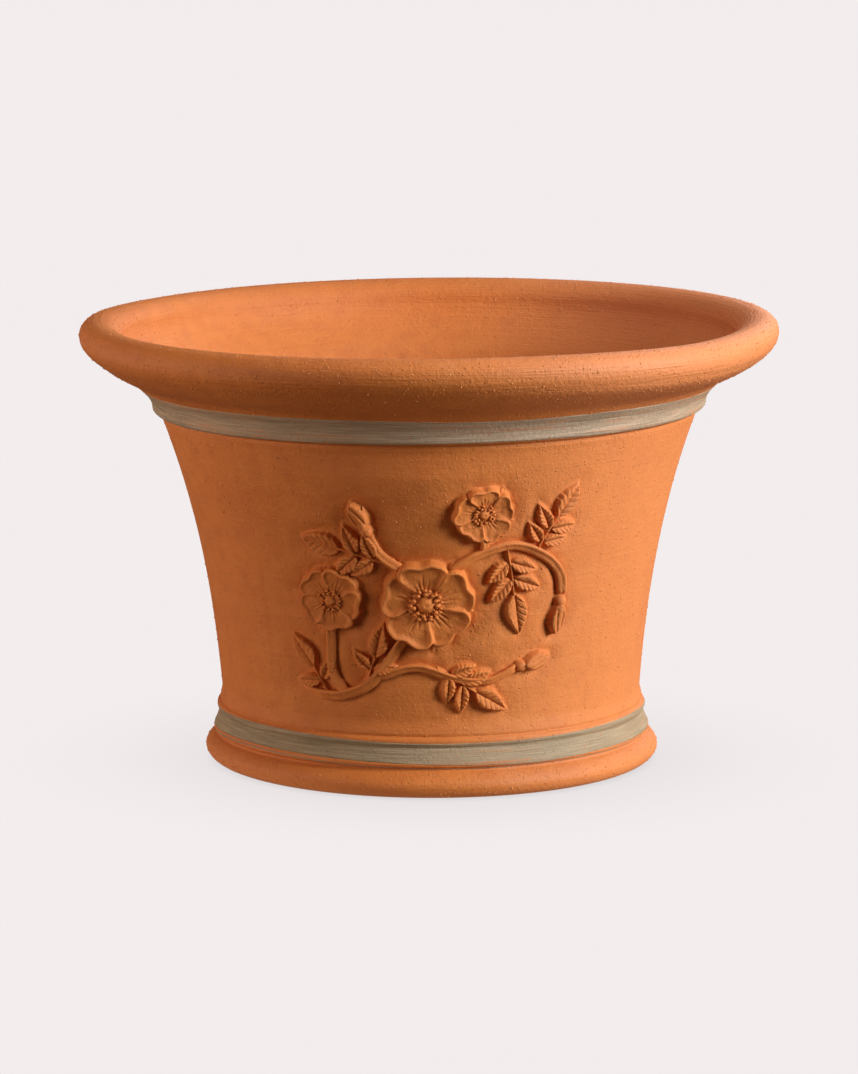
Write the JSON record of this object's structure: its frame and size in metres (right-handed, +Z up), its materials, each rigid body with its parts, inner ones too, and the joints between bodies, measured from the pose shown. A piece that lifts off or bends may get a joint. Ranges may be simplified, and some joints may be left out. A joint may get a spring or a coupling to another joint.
{
  "type": "terracotta planter",
  "caption": "Round bell-shaped terracotta planter with a rolled rim, a slip band at neck and foot, and a spray of wild roses in relief on the front of its wall.",
  "frame": {"origin": "middle of the foot's underside, on the surface that the planter stands on", "axes": "+Z up along the pot's axis; -Y out of the front, where the rose spray is; +X to the right seen from the front"},
  "size_m": [0.4006, 0.4006, 0.257],
  "materials": {
    "terracotta": "unglazed, sandy, with fine turning lines",
    "sprig_clay": "unglazed, hand-pressed and tooled",
    "slip": "matt grey-green slip, brushed on thinly"
  },
  "bodies": {
    "root": {"pot_body": "terracotta", "upper_slip_band": "slip", "lower_slip_band": "slip", "rose_large": "sprig_clay", "rose_medium": "sprig_clay", "rose_small": "sprig_clay", "bud_top": "sprig_clay", "bud_right": "sprig_clay", "bud_low": "sprig_clay", "branch_lower": "sprig_clay", "branch_upper": "sprig_clay", "stalk_medium_rose": "sprig_clay", "stalk_small_rose": "sprig_clay", "stalk_top_bud": "sprig_clay", "stalk_low_bud": "sprig_clay", "leaf_spray_top": "sprig_clay", "leaf_spray_low": "sprig_clay", "leaf_spray_hanging": "sprig_clay", "leaf_spray_arch": "sprig_clay", "leaf_spray_end": "sprig_clay", "leaf_spray_inner": "sprig_clay"}
  },
  "joints": []
}
